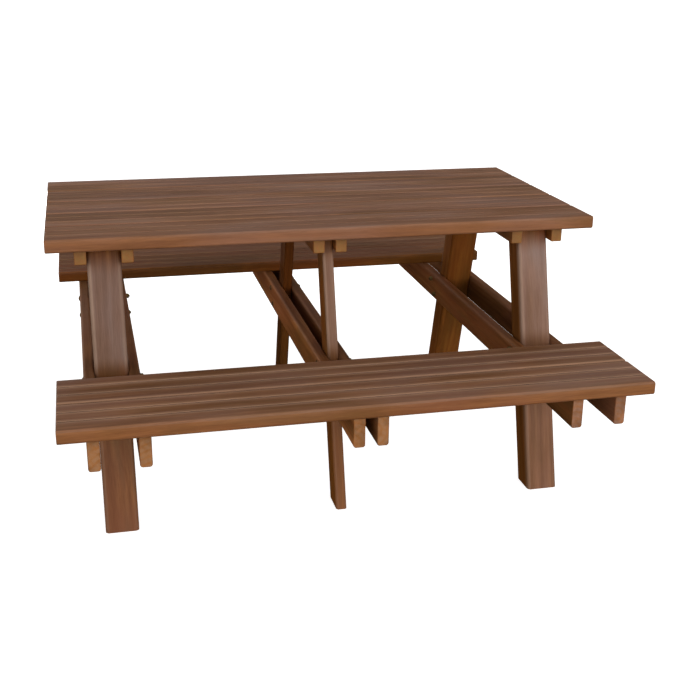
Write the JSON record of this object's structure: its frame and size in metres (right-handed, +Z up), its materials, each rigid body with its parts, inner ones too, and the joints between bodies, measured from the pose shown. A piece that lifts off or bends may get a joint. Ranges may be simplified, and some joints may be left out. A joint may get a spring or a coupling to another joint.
{
  "type": "picnic table with benches",
  "caption": "Rectangular picnic table with grooved plank top and fixed plank benches on both long sides, carried by splayed-leg trestle frames bolted between seat beams and cleats.",
  "frame": {"origin": "on the floor, at the centre of the table's footprint", "axes": "+X along the table's length, +Y across it from the front bench to the back bench, +Z up"},
  "size_m": [1.454, 1.608, 0.756],
  "materials": {
    "boards": "brown stain, satin",
    "frame": "brown stain, satin",
    "bolts": "yellow zinc",
    "screws": "zinc"
  },
  "bodies": {
    "root": {"back_bench_board_1": "boards", "back_bench_board_2": "boards", "front_bench_board_1": "boards", "front_bench_board_2": "boards", "left_back_leg": "frame", "left_bench_screws": "screws", "left_cleat_1": "frame", "left_cleat_2": "frame", "left_cleat_bolts": "bolts", "left_cleat_nuts": "bolts", "left_cleat_washers": "bolts", "left_front_leg": "frame", "left_seat_beam_1": "frame", "left_seat_beam_2": "frame", "left_seat_bolts": "bolts", "left_seat_nuts": "bolts", "left_seat_washers": "bolts", "left_top_screws": "screws", "middle_back_leg": "frame", "middle_bench_screws": "screws", "middle_cleat_1": "frame", "middle_cleat_2": "frame", "middle_cleat_bolts": "bolts", "middle_cleat_nuts": "bolts", "middle_cleat_washers": "bolts", "middle_front_leg": "frame", "middle_seat_beam_1": "frame", "middle_seat_beam_2": "frame", "middle_seat_bolts": "bolts", "middle_seat_nuts": "bolts", "middle_seat_washers": "bolts", "middle_top_screws": "screws", "right_back_leg": "frame", "right_bench_screws": "screws", "right_cleat_1": "frame", "right_cleat_2": "frame", "right_cleat_bolts": "bolts", "right_cleat_nuts": "bolts", "right_cleat_washers": "bolts", "right_front_leg": "frame", "right_seat_beam_1": "frame", "right_seat_beam_2": "frame", "right_seat_bolts": "bolts", "right_seat_nuts": "bolts", "right_seat_washers": "bolts", "right_top_screws": "screws", "top_board_1": "boards", "top_board_2": "boards", "top_board_3": "boards", "top_board_4": "boards", "top_board_5": "boards"}
  },
  "joints": []
}
